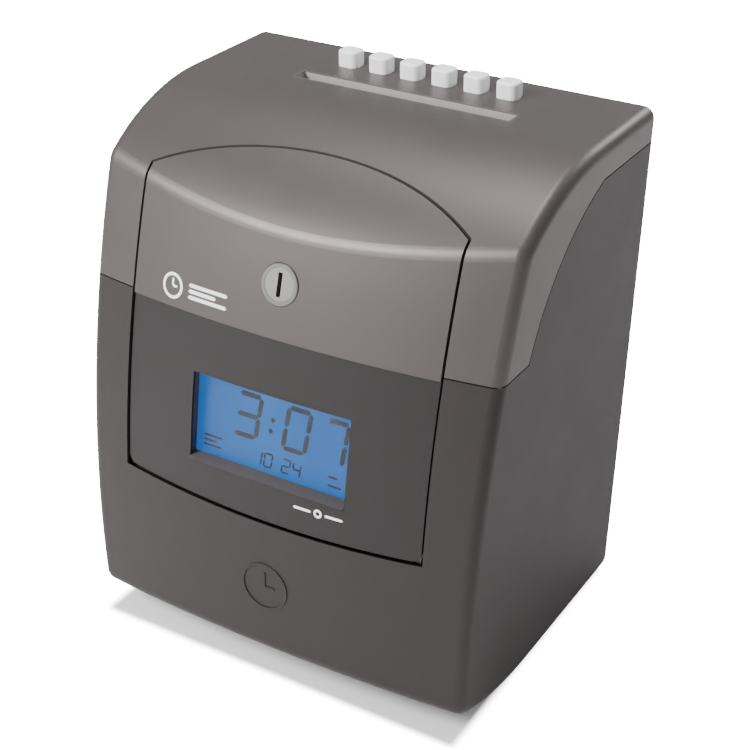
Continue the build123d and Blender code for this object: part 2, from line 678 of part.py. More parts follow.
with BuildPart() as feed_rollers:
    for x in (-30, 20):
        with BuildSketch(Plane.YZ.offset(x)):
            with Locations((FEED_Y, FEED_Z)):
                Circle(FEED_R)
                Circle(FEED_SHAFT_R, mode=Mode.SUBTRACT)
        extrude(amount=10)
feed_rollers.part.label = "feed_rollers"
export_step(feed_rollers.part, "parts/feed_rollers.step")

with BuildPart() as feed_gear:
    with BuildSketch(Plane(origin=(GEAR_X, FEED_Y, FEED_Z), x_dir=(0, 1, 0), z_dir=(1, 0, 0))):
        gear_profile(FEED_TEETH, IDLER_ANGLE, FEED_SHAFT_R)
    extrude(amount=GEAR_T)
feed_gear.part.label = "feed_gear"
export_step(feed_gear.part, "parts/feed_gear.step")

# --- idler gear and its pin ---
IDLER_PHASE = IDLER_ANGLE + 180 + 180 / IDLER_TEETH
with BuildPart() as idler_gear:
    with BuildSketch(Plane(origin=(GEAR_X, *IDLER_C), x_dir=(0, 1, 0), z_dir=(1, 0, 0))):
        gear_profile(IDLER_TEETH, IDLER_PHASE, 2.0 + RUN)
    extrude(amount=GEAR_T)
idler_gear.part.label = "idler_gear"
export_step(idler_gear.part, "parts/idler_gear.step")

with BuildPart() as idler_pin:
    with BuildSketch(Plane.YZ.offset(GEAR_X - 1.6)):
        with Locations(IDLER_C):
            Circle(2.0)
    extrude(amount=-CHASSIS_X - GEAR_X + 1.6)
    with BuildSketch(Plane.YZ.offset(GEAR_X - 1.6)):
        with Locations(IDLER_C):
            Circle(3.4)
    extrude(amount=1.2)
idler_pin.part.label = "idler_pin"
export_step(idler_pin.part, "parts/idler_pin.step")

# --- motor pinion on its shaft ---
lead = (PINION_ANGLE - IDLER_PHASE) % (360 / IDLER_TEETH)
PINION_PHASE = PINION_ANGLE + 180 + lead * IDLER_TEETH / PINION_TEETH + 180 / PINION_TEETH
with BuildPart() as motor_pinion:
    with BuildSketch(Plane(origin=(GEAR_X, *PINION_C), x_dir=(0, 1, 0), z_dir=(1, 0, 0))):
        gear_profile(PINION_TEETH, PINION_PHASE, 1.5)
    extrude(amount=GEAR_T)
    with BuildSketch(Plane.YZ.offset(GEAR_X - 1)):
        with Locations(PINION_C):
            Circle(1.5)
    extrude(amount=-CHASSIS_X - GEAR_X + 1)
motor_pinion.part.label = "motor_pinion"
export_step(motor_pinion.part, "parts/motor_pinion.step")

# --- feed motor ---
with BuildPart() as feed_motor:
    with BuildSketch(Plane.YZ.offset(-CHASSIS_X + 0.1)):
        with Locations(PINION_C):
            Circle(12)
    extrude(amount=26)
    fillet(edges().group_by(Axis.X)[-1], 1.5)
    with BuildSketch(Plane.YZ.offset(-CHASSIS_X + 26.1)):
        with Locations(PINION_C):
            Circle(4)
    extrude(amount=2.5)
feed_motor.part.label = "feed_motor"
export_step(feed_motor.part, "parts/feed_motor.step")

# --- bushes for the feed shaft ---
with BuildPart() as shaft_bushes:
    for x in (-CHASSIS_X - PLATE_T - 1.0, CHASSIS_X):
        with BuildSketch(Plane.YZ.offset(x)):
            with Locations((FEED_Y, FEED_Z)):
                Circle(4.0)
                Circle(FEED_SHAFT_R + RUN, mode=Mode.SUBTRACT)
        extrude(amount=PLATE_T + 1.0)
shaft_bushes.part.label = "shaft_bushes"
export_step(shaft_bushes.part, "parts/shaft_bushes.step")

# --- pinch shaft, rollers and bracket behind the card path ---
with BuildPart() as pinch_shaft:
    with BuildSketch(Plane.YZ.offset(-40)):
        with Locations((PINCH_Y, FEED_Z)):
            Circle(PINCH_SHAFT_R)
    extrude(amount=80)
pinch_shaft.part.label = "pinch_shaft"
export_step(pinch_shaft.part, "parts/pinch_shaft.step")

with BuildPart() as pinch_rollers:
    for x in (-30, 20):
        with BuildSketch(Plane.YZ.offset(x)):
            with Locations((PINCH_Y, FEED_Z)):
                Circle(PINCH_R)
                Circle(PINCH_SHAFT_R, mode=Mode.SUBTRACT)
        extrude(amount=10)
pinch_rollers.part.label = "pinch_rollers"
export_step(pinch_rollers.part, "parts/pinch_rollers.step")

with BuildPart() as pinch_bracket:
    with BuildSketch(Plane.XZ.offset(-PINCH_Y - 8.75)):
        with Locations((0, FEED_Z)):
            Rectangle(2 * CHASSIS_X - 0.2, 14)
    extrude(amount=-1.2)
    for x in (-38.5, 37.0):
        with BuildSketch(Plane.YZ.offset(x)):
            with Locations((PINCH_Y + 3.15, FEED_Z)):
                Rectangle(11.6, 14)
            with Locations((PINCH_Y, FEED_Z)):
                Circle(PINCH_SHAFT_R + RUN, mode=Mode.SUBTRACT)
        extrude(amount=1.5)
pinch_bracket.part.label = "pinch_bracket"
export_step(pinch_bracket.part, "parts/pinch_bracket.step")

# --- guide rods for the print head ---
with BuildPart() as guide_rods:
    with BuildSketch(Plane.YZ.offset(-CHASSIS_X - PLATE_T - 1)):
        with Locations((ROD_BACK_Y, ROD_Z), (ROD_FRONT_Y, ROD_Z)):
            Circle(2.45)
    extrude(amount=2 * (CHASSIS_X + PLATE_T + 1))
guide_rods.part.label = "guide_rods"
export_step(guide_rods.part, "parts/guide_rods.step")

# --- head carriage, clamped round the belt's upper run ---
BELT_MID_Y = -10.15
with BuildPart() as head_carriage:
    with BuildSketch(Plane.XY.offset(ROD_Z - 4.5)):
        with Locations((0, -0.85)):
            RectangleRounded(30, 24, 2)
    extrude(amount=8.5)
    with BuildSketch(Plane.XZ.offset(-BELT_MID_Y)):
        with Locations((0, BELT_Z + BELT_R + 1.5)):
            Rectangle(12, 10)
    extrude(amount=3.0, both=True)
    with BuildSketch(Plane.YZ.offset(-20)):
        with Locations((BELT_MID_Y, BELT_Z + BELT_R)):
            Rectangle(4.2, 1.8)
        with Locations((ROD_BACK_Y, ROD_Z), (ROD_FRONT_Y, ROD_Z)):
            Circle(2.5)
    extrude(amount=40, mode=Mode.SUBTRACT)
head_carriage.part.label = "head_carriage"
export_step(head_carriage.part, "parts/head_carriage.step")

# --- dot print head ---
with BuildPart() as print_head:
    with BuildSketch(Plane.XZ.offset(10.85)):
        with Locations((0, HEAD_Z)):
            Circle(10)
        with Locations((0, HEAD_Z - 5.5)):
            Rectangle(20, 11)
    extrude(amount=-18)
    with BuildSketch(Plane.XZ.offset(-7.15)):
        with Locations((0, HEAD_Z)):
            Rectangle(14, 12)
    with BuildSketch(Plane.XZ.offset(-22.55)):
        with Locations((0, HEAD_Z)):
            Rectangle(5, 5)
    loft()
print_head.part.label = "print_head"
export_step(print_head.part, "parts/print_head.step")

# --- platen behind the card ---
with BuildPart() as platen:
    with BuildSketch(Plane.XZ.offset(-CHUTE_BACK_Y - 0.1)):
        with Locations((0, HEAD_Z)):
            Rectangle(80, 10)
    extrude(amount=-5)
    with BuildSketch(Plane.XZ.offset(-CHUTE_BACK_Y - PLATE_T)):
        with Locations((0, HEAD_Z)):
            Rectangle(92, 16)
    extrude(amount=-2)
platen.part.label = "platen"
export_step(platen.part, "parts/platen.step")

# --- head drive: motor, brackets, pulleys and belt ---
with BuildPart() as head_motor:
    with BuildSketch(Plane.XZ.offset(14.85)):
        with Locations((BELT_X, BELT_Z)):
            Circle(9.5)
    extrude(amount=18)
    fillet(edges().group_by(Axis.Y)[0], 1.2)
head_motor.part.label = "head_motor"
export_step(head_motor.part, "parts/head_motor.step")

with BuildPart() as motor_bracket:
    with BuildSketch(Plane.XZ.offset(13.65)):
        with Locations((38.4, BELT_Z)):
            Rectangle(25, 24)
        with Locations((BELT_X, BELT_Z)):
            Circle(3, mode=Mode.SUBTRACT)
    extrude(amount=1.2)
motor_bracket.part.label = "motor_bracket"
export_step(motor_bracket.part, "parts/motor_bracket.step")

with BuildPart() as idler_bracket:
    with BuildSketch(Plane.XZ.offset(13.65)):
        with Locations((-38.4, BELT_Z)):
            Rectangle(25, 24)
    extrude(amount=1.2)
    with BuildSketch(Plane.XZ.offset(13.65)):
        with Locations((-BELT_X, BELT_Z)):
            Circle(1.5)
    extrude(amount=-7.2)
idler_bracket.part.label = "idler_bracket"
export_step(idler_bracket.part, "parts/idler_bracket.step")


def pulley(x, bore):
    """Flanged belt pulley on a Y axis at x."""
    with BuildPart() as wheel:
        with BuildSketch(Plane.XZ.offset(13.05)):
            with Locations((x, BELT_Z)):
                Circle(BELT_R - 0.6)
        extrude(amount=-6.0)
        for y in (13.05, 7.85):
            with BuildSketch(Plane.XZ.offset(y)):
                with Locations((x, BELT_Z)):
                    Circle(BELT_R + 1.2)
            extrude(amount=-0.8)
        if bore:
            with BuildSketch(Plane.XZ.offset(13.85)):
                with Locations((x, BELT_Z)):
                    Circle(bore)
            extrude(amount=-8, mode=Mode.SUBTRACT)
        else:
            with BuildSketch(Plane.XZ.offset(14.85)):
                with Locations((x, BELT_Z)):
                    Circle(1.5)
            extrude(amount=-8.4)
    return wheel.part


with BuildPart() as drive_pulley:
    add(pulley(BELT_X, 0))
drive_pulley.part.label = "drive_pulley"
export_step(drive_pulley.part, "parts/drive_pulley.step")

with BuildPart() as idler_pulley:
    add(pulley(-BELT_X, 1.5 + RUN))
idler_pulley.part.label = "idler_pulley"
export_step(idler_pulley.part, "parts/idler_pulley.step")

with BuildPart() as drive_belt:
    with BuildSketch(Plane.XZ.offset(-BELT_MID_Y - 1.6)):
        with Locations((0, BELT_Z)):
            SlotCenterToCenter(2 * BELT_X, 2 * BELT_R + 1)
            SlotCenterToCenter(2 * BELT_X, 2 * BELT_R - 1, mode=Mode.SUBTRACT)
    extrude(amount=3.2)
drive_belt.part.label = "drive_belt"
export_step(drive_belt.part, "parts/drive_belt.step")

# --- ribbon cartridge, its ribbon and the take-up knob ---
KNOB_X, KNOB_Y = -30.0, -4.0
with BuildPart() as ribbon_cartridge:
    with BuildSketch(Plane.XY.offset(163.5)):
        with Locations((0, -3.5)):
            RectangleRounded(94, 31, 5)
    extrude(amount=14)
    fillet(edges().group_by(Axis.Z)[-1], 1.2)
    for x in (-46.5, 43.5):
        with BuildSketch(Plane.YZ.offset(x)):
            with BuildLine():
                Polyline(
                    (3.15, 164), (3.15, 172), (23.15, 165), (23.15, 145), (19.15, 145), (15.15, 164), close=True
                )
            make_face()
        extrude(amount=3.0)
    with BuildSketch(Plane.XY.offset(160)):
        with Locations((KNOB_X, KNOB_Y)):
            Circle(2.5 + RUN)
    extrude(amount=20, mode=Mode.SUBTRACT)
ribbon_cartridge.part.label = "ribbon_cartridge"
export_step(ribbon_cartridge.part, "parts/ribbon_cartridge.step")

with BuildPart() as ink_ribbon:
    with BuildSketch(Plane.XZ.offset(-23.55)):
        with Locations((0, 151.0)):
            Rectangle(93, 11)
    extrude(amount=-0.3)
ink_ribbon.part.label = "ink_ribbon"
export_step(ink_ribbon.part, "parts/ink_ribbon.step")

with BuildPart() as ribbon_knob:
    with BuildSketch(Plane.XY.offset(162.2)):
        with Locations((KNOB_X, KNOB_Y)):
            Circle(2.5)
    extrude(amount=16.3)
    with BuildSketch(Plane.XY.offset(178.0)):
        with Locations((KNOB_X, KNOB_Y)):
            Circle(7.5)
            with PolarLocations(7.9, 14):
                Circle(0.9, mode=Mode.SUBTRACT)
    extrude(amount=5)
    with BuildSketch(Plane.XY.offset(162.2)):
        with Locations((KNOB_X, KNOB_Y)):
            Circle(3.6)
    extrude(amount=1.2)
ribbon_knob.part.label = "ribbon_knob"
export_step(ribbon_knob.part, "parts/ribbon_knob.step")

# --- display glass, its circuit board and the bracket behind ---
with BuildPart() as lcd_glass:
    with BuildSketch(WINDOW_PLANE.offset(-BEZEL_DEPTH - 0.4)):
        Rectangle(74, 41)
    extrude(amount=-2.6)
lcd_glass.part.label = "lcd_glass"
export_step(lcd_glass.part, "parts/lcd_glass.step")

with BuildPart() as lcd_board:
    with BuildSketch(WINDOW_PLANE.offset(-BEZEL_DEPTH - 3.0)):
        Rectangle(86, 50)
        with GridLocations(78, 42, 2, 2):
            Circle(1.25, mode=Mode.SUBTRACT)
    extrude(amount=-1.6)
lcd_board.part.label = "lcd_board"
export_step(lcd_board.part, "parts/lcd_board.step")

with BuildPart() as display_bracket:
    with BuildSketch(WINDOW_PLANE.offset(-BEZEL_DEPTH - 10.0)):
        Rectangle(2 * CHASSIS_X - 0.2, 56)
    extrude(amount=-1.2)
    with BuildSketch(WINDOW_PLANE.offset(-BEZEL_DEPTH - 4.6)):
        with GridLocations(78, 42, 2, 2):
            Circle(2.6)
    extrude(amount=-5.4)
display_bracket.part.label = "display_bracket"
export_step(display_bracket.part, "parts/display_bracket.step")

# --- main circuit board ---
with BuildPart() as main_board:
    with BuildSketch(Plane.XZ.offset(-58)):
        with Locations((0, 100)):
            Rectangle(2 * CHASSIS_X - 0.2, 120)
    extrude(amount=-1.6)
main_board.part.label = "main_board"
export_step(main_board.part, "parts/main_board.step")

# --- power inlet socket ---
with BuildPart() as power_jack:
    with BuildSketch(Plane.XZ.offset(-BACK_Y + WALL)):
        with Locations((JACK_X, JACK_Z)):
            Rectangle(11, 11)
    extrude(amount=12)
    with BuildSketch(Plane.XZ.offset(-BACK_Y + WALL)):
        with Locations((JACK_X, JACK_Z)):
            Circle(3.9)
    extrude(amount=-WALL + 0.2)
    with BuildSketch(Plane.XZ.offset(-BACK_Y)):
        with Locations((JACK_X, JACK_Z)):
            Circle(2.8)
    extrude(amount=11, mode=Mode.SUBTRACT)
    with BuildSketch(Plane.XZ.offset(-BACK_Y + 11)):
        with Locations((JACK_X, JACK_Z)):
            Circle(1.0)
    extrude(amount=-9)
power_jack.part.label = "power_jack"
export_step(power_jack.part, "parts/power_jack.step")

# --- backup battery on the chassis floor ---
with BuildPart() as backup_battery:
    with BuildSketch(Plane.XY.offset(CHASSIS_FLOOR + PLATE_T)):
        with Locations((12, -14)):
            RectangleRounded(52, 17, 3)
    extrude(amount=15)
    fillet(edges().group_by(Axis.Z)[-1], 3)
backup_battery.part.label = "backup_battery"
export_step(backup_battery.part, "parts/backup_battery.step")
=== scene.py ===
# %% [markdown]
# # A punch time clock, dressed for a studio picture
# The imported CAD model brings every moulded, pressed and turned part. This lesson gives each one a
# finish, adds the thin printed and lit details that a CAD solid doesn't carry, and sets up a pale
# studio. All lengths are in metres, +Z is up and the door faces -Y.

import math

import bpy
import numpy as np
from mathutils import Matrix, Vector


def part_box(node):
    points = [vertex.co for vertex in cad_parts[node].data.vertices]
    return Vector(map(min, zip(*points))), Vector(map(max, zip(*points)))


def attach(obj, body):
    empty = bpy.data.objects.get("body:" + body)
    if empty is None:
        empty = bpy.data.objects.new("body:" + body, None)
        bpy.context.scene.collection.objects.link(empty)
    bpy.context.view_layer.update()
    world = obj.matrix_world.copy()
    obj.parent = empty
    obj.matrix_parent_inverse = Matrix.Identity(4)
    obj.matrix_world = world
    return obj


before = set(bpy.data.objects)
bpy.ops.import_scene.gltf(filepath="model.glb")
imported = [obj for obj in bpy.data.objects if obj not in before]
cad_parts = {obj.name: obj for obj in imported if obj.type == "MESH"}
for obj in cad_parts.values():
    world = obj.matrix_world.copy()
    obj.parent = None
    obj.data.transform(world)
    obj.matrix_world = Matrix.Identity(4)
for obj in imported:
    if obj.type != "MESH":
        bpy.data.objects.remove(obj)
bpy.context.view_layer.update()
MM = 0.001

# %% [markdown]
# ## The camera
# A long lens a little over half a metre up gives the slight convergence of a product picture. It
# could be aimed with a Track To constraint, but plain trigonometry keeps it free of constraints:
# the turn round Z is the azimuth, and the tilt is 90 degrees less the elevation.

# %% Place the camera
AZIMUTH, ELEVATION = 31.17, 31.82
TARGET = np.array([1.46, 11.37, 69.11]) * MM
DISTANCE = 644.7 * MM
LENS, SHIFT_Y = 77.13, 0.0816


def camera_position(azimuth, elevation, target, distance):
    """Target plus distance along (sin a cos e, -cos a cos e, sin e)."""
    a, e = math.radians(azimuth), math.radians(elevation)
    away = np.array([math.sin(a) * math.cos(e), -math.cos(a) * math.cos(e), math.sin(e)])
    return target + distance * away


camera_data = bpy.data.cameras.new("studio_camera")
camera_data.lens = LENS
camera_data.sensor_width = 36
camera_data.shift_y = SHIFT_Y
camera_data.clip_start = 0.05
camera = bpy.data.objects.new("studio_camera", camera_data)
bpy.context.scene.collection.objects.link(camera)
camera.location = camera_position(AZIMUTH, ELEVATION, TARGET, DISTANCE)
camera.rotation_euler = (math.radians(90 - ELEVATION), 0, math.radians(AZIMUTH))
bpy.context.scene.camera = camera
print("camera at", [round(v, 3) for v in camera.location])

# %% [markdown]
# ## Studio
# The clock stands on a white sweep that has to look pure white behind a dark case. Lamps strong
# enough for that would wash the case out, so the paper glows only where the camera sees it, which
# the Light Path node tells. Near the case's footprint the glow fades out by position alone, which
# paints a soft shadow band round the case on top of the real shadow that the lamps cast.

# %% The white sweep
PAPER_GLOW = 30.0
FOOTPRINT, SHADOW_REACH = (0.078, 0.062, 0.0), 0.009


def sweep_floor(name, half, rise, radius, samples=24):
    """A floor strip whose section runs level, turns up through a quarter circle and rises behind."""
    turn = np.linspace(0, np.pi / 2, samples)
    y = np.concatenate([[-half], half + radius * np.sin(turn), [half + radius]])
    z = np.concatenate([[0.0], radius * (1 - np.cos(turn)), [rise]])
    x = np.array([-half * 1.6, half * 1.6])
    grid = np.stack([np.broadcast_to(x[:, None], (2, y.size)), np.tile(y, (2, 1)), np.tile(z, (2, 1))], -1)
    count = y.size
    first = np.arange(count - 1)
    faces = np.stack([first, first + count, first + count + 1, first + 1], 1)
    mesh = bpy.data.meshes.new(name)
    mesh.from_pydata(grid.reshape(-1, 3).tolist(), [], faces.tolist())
    piece = bpy.data.objects.new(name, mesh)
    bpy.context.scene.collection.objects.link(piece)
    for polygon in mesh.polygons:
        polygon.use_smooth = True
    return piece


def white_paper(name, glow):
    """Matt white paper that glows for the camera alone: glow times a smooth step of the distance
    |max(|p| - footprint, 0)| outside the case's footprint, so the dimmer band round the case is
    painted shadow."""
    material = bpy.data.materials.new(name)
    material.use_nodes = True
    tree = material.node_tree
    shader = tree.nodes["Principled BSDF"]
    fibre = tree.nodes.new("ShaderNodeTexNoise")
    fibre.inputs["Scale"].default_value = 400.0
    bump = tree.nodes.new("ShaderNodeBump")
    bump.inputs["Strength"].default_value = 0.02
    tree.links.new(fibre.outputs["Fac"], bump.inputs["Height"])
    tree.links.new(bump.outputs["Normal"], shader.inputs["Normal"])
    shader.inputs["Base Color"].default_value = (0.9, 0.9, 0.9, 1)
    shader.inputs["Roughness"].default_value = 0.8
    shader.inputs["Emission Color"].default_value = (1, 1, 1, 1)
    place = tree.nodes.new("ShaderNodeTexCoord")
    spread = tree.nodes.new("ShaderNodeVectorMath")
    spread.operation = "ABSOLUTE"
    tree.links.new(place.outputs["Object"], spread.inputs[0])
    beyond = tree.nodes.new("ShaderNodeVectorMath")
    beyond.operation = "SUBTRACT"
    beyond.inputs[1].default_value = FOOTPRINT
    tree.links.new(spread.outputs["Vector"], beyond.inputs[0])
    outside = tree.nodes.new("ShaderNodeVectorMath")
    outside.operation = "MAXIMUM"
    tree.links.new(beyond.outputs["Vector"], outside.inputs[0])
    reach = tree.nodes.new("ShaderNodeVectorMath")
    reach.operation = "LENGTH"
    tree.links.new(outside.outputs["Vector"], reach.inputs[0])
    # Painted shadow: the glow is nothing at the footprint's edge and rises over SHADOW_REACH, darkening a
    # band round the case by position alone.
    painted_shadow_fade = tree.nodes.new("ShaderNodeMapRange")
    painted_shadow_fade.interpolation_type = "SMOOTHERSTEP"
    painted_shadow_fade.inputs["From Max"].default_value = SHADOW_REACH
    painted_shadow_fade.inputs["To Max"].default_value = glow
    tree.links.new(reach.outputs["Value"], painted_shadow_fade.inputs["Value"])
    path = tree.nodes.new("ShaderNodeLightPath")
    gain = tree.nodes.new("ShaderNodeMath")
    gain.operation = "MULTIPLY"
    tree.links.new(painted_shadow_fade.outputs["Result"], gain.inputs[1])
    tree.links.new(path.outputs["Is Camera Ray"], gain.inputs[0])
    tree.links.new(gain.outputs["Value"], shader.inputs["Emission Strength"])
    return material


floor = sweep_floor("studio_floor", 2.2, 2.5, 0.8)
floor.data.materials.append(white_paper("studio_paper", PAPER_GLOW))
print("sweep:", len(floor.data.polygons), "faces")

# %% [markdown]
# ## Lamps and surround
# The key lamp stands high at the front left and draws the broad soft highlight along the crease of
# the hood. A weaker one low beside it lifts the front, one overhead lights the roof, and one behind
# outlines it. Area lamps are used because their edge is soft, as a softbox's is. The surround is
# dim for the case and bright for the camera, in the same way as the paper.

# %% Lamps and surround
SURROUND, SURROUND_SEEN = 0.55, 40.0


def area_lamp(name, power, size, place, aim):
    """A square soft lamp at place, turned to look at aim."""
    data = bpy.data.lights.new(name, "AREA")
    data.energy, data.size = power, size
    lamp = bpy.data.objects.new(name, data)
    bpy.context.scene.collection.objects.link(lamp)
    lamp.location = place
    direction = np.array(aim) - np.array(place)
    flat = math.hypot(direction[0], direction[1])
    turn = math.atan2(direction[0], -direction[1]) + math.pi
    lamp.rotation_euler = (math.atan2(flat, -direction[2]), 0, turn)
    return lamp


area_lamp("key_lamp", 19.0, 0.34, (-0.46, -0.72, 0.78), (0, 0, 0.12))
area_lamp("front_lamp", 4.0, 0.5, (-0.58, -1.00, 0.42), (0, 0, 0.14))
area_lamp("top_lamp", 9.5, 0.5, (-0.15, 0.20, 1.25), (0, 0, 0.1))
area_lamp("rim_lamp", 6.0, 0.4, (0.25, 1.15, 0.75), (0.05, 0, 0.16))

world = bpy.data.worlds.new("studio_surround")
bpy.context.scene.world = world
world.use_nodes = True
sky = world.node_tree.nodes["Background"]
sky.inputs["Color"].default_value = (1, 1, 1, 1)
seen = world.node_tree.nodes.new("ShaderNodeLightPath")
level = world.node_tree.nodes.new("ShaderNodeMapRange")
level.inputs["To Min"].default_value = SURROUND
level.inputs["To Max"].default_value = SURROUND_SEEN
world.node_tree.links.new(seen.outputs["Is Camera Ray"], level.inputs["Value"])
world.node_tree.links.new(level.outputs["Result"], sky.inputs["Strength"])
print("lamps:", len(bpy.data.lights))

# %% [markdown]
# ## One recipe for moulded and painted finishes
# A moulding is never one flat colour: its pigment drifts slowly over centimetres, its gloss varies
# with handling, and its surface carries a spark-eroded grain a few tenths of a millimetre across.
# One node recipe covers this, with its colour, grain and gloss as arguments, so that every part
# gets its own material while the nodes are written once.

# %% Material helper
GRAIN_DETAIL, GRAIN_HEIGHT = 2.2, 0.04 * MM


def finish(name, colour, rough=0.45, metallic=0.0, grain=0.35, grain_depth=0.12, drift=0.08,
           uneven=0.04):
    """Principled surface: colour c drifts from c (1 - drift) to c (1 + drift) over centimetres, the
    roughness by uneven either way, and a bump has cells of about grain millimetres."""
    material = bpy.data.materials.new(name)
    material.use_nodes = True
    tree = material.node_tree
    shader = tree.nodes["Principled BSDF"]
    place = tree.nodes.new("ShaderNodeTexCoord")

    def noise(scale, detail):
        node = tree.nodes.new("ShaderNodeTexNoise")
        node.inputs["Scale"].default_value = scale
        node.inputs["Detail"].default_value = detail
        tree.links.new(place.outputs["Object"], node.inputs["Vector"])
        return node

    def spread_over(node, low, high):
        ramp = tree.nodes.new("ShaderNodeMapRange")
        ramp.inputs["From Min"].default_value = 0.3
        ramp.inputs["From Max"].default_value = 0.7
        ramp.inputs["To Min"].default_value = low
        ramp.inputs["To Max"].default_value = high
        tree.links.new(node.outputs["Fac"], ramp.inputs["Value"])
        return ramp

    broad = noise(18.0, 3)
    mix = tree.nodes.new("ShaderNodeMix")
    mix.data_type = "RGBA"
    mix.inputs["A"].default_value = (*[c * (1 - drift) for c in colour], 1)
    mix.inputs["B"].default_value = (*[min(1.0, c * (1 + drift)) for c in colour], 1)
    share = spread_over(broad, 0.0, 1.0)
    tree.links.new(share.outputs["Result"], mix.inputs["Factor"])
    tree.links.new(mix.outputs["Result"], shader.inputs["Base Color"])
    gloss = spread_over(noise(45.0, 4), rough - uneven, rough + uneven)
    tree.links.new(gloss.outputs["Result"], shader.inputs["Roughness"])
    fine = noise(1000.0 / grain * 0.45, GRAIN_DETAIL)
    bump = tree.nodes.new("ShaderNodeBump")
    bump.inputs["Strength"].default_value = grain_depth
    bump.inputs["Distance"].default_value = GRAIN_HEIGHT
    tree.links.new(fine.outputs["Fac"], bump.inputs["Height"])
    tree.links.new(bump.outputs["Normal"], shader.inputs["Normal"])
    shader.inputs["Metallic"].default_value = metallic
    return material


def dress(node, material):
    """Puts a material into every slot of a CAD node's mesh."""
    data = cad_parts[node].data
    if not data.materials:
        data.materials.append(material)
    for index in range(len(data.materials)):
        data.materials[index] = material


hood_paint = finish("hood_satin_grey", (0.082, 0.070, 0.0695), rough=0.42, metallic=0.6,
                    grain_depth=0.08, drift=0.04, uneven=0.02)
base_plastic = finish("base_dark_grey", (0.0212, 0.0160, 0.0162), rough=0.5,
                      grain_depth=0.14, drift=0.03, uneven=0.012)
panel_paint = finish("panel_dark_satin", (0.0158, 0.0124, 0.0130), rough=0.46,
                     grain_depth=0.08, drift=0.04, uneven=0.015)
for soft in (base_plastic, panel_paint):
    soft.node_tree.nodes["Principled BSDF"].inputs["Specular IOR Level"].default_value = 0.3
for node in ("hood", "door_shell"):
    dress(node, hood_paint)
dress("base_shell", base_plastic)
dress("display_panel", panel_paint)
print("case finishes:", hood_paint.name, base_plastic.name, panel_paint.name)

# %% [markdown]
# ## Everything inside and behind
# Behind the door are zinc-plated plates, turned steel, moulded gears and green circuit boards. Each
# could have its own node tree, but a table of colours with a few shared looks says the same in one
# line per part, and the recipe above turns every line into a material.

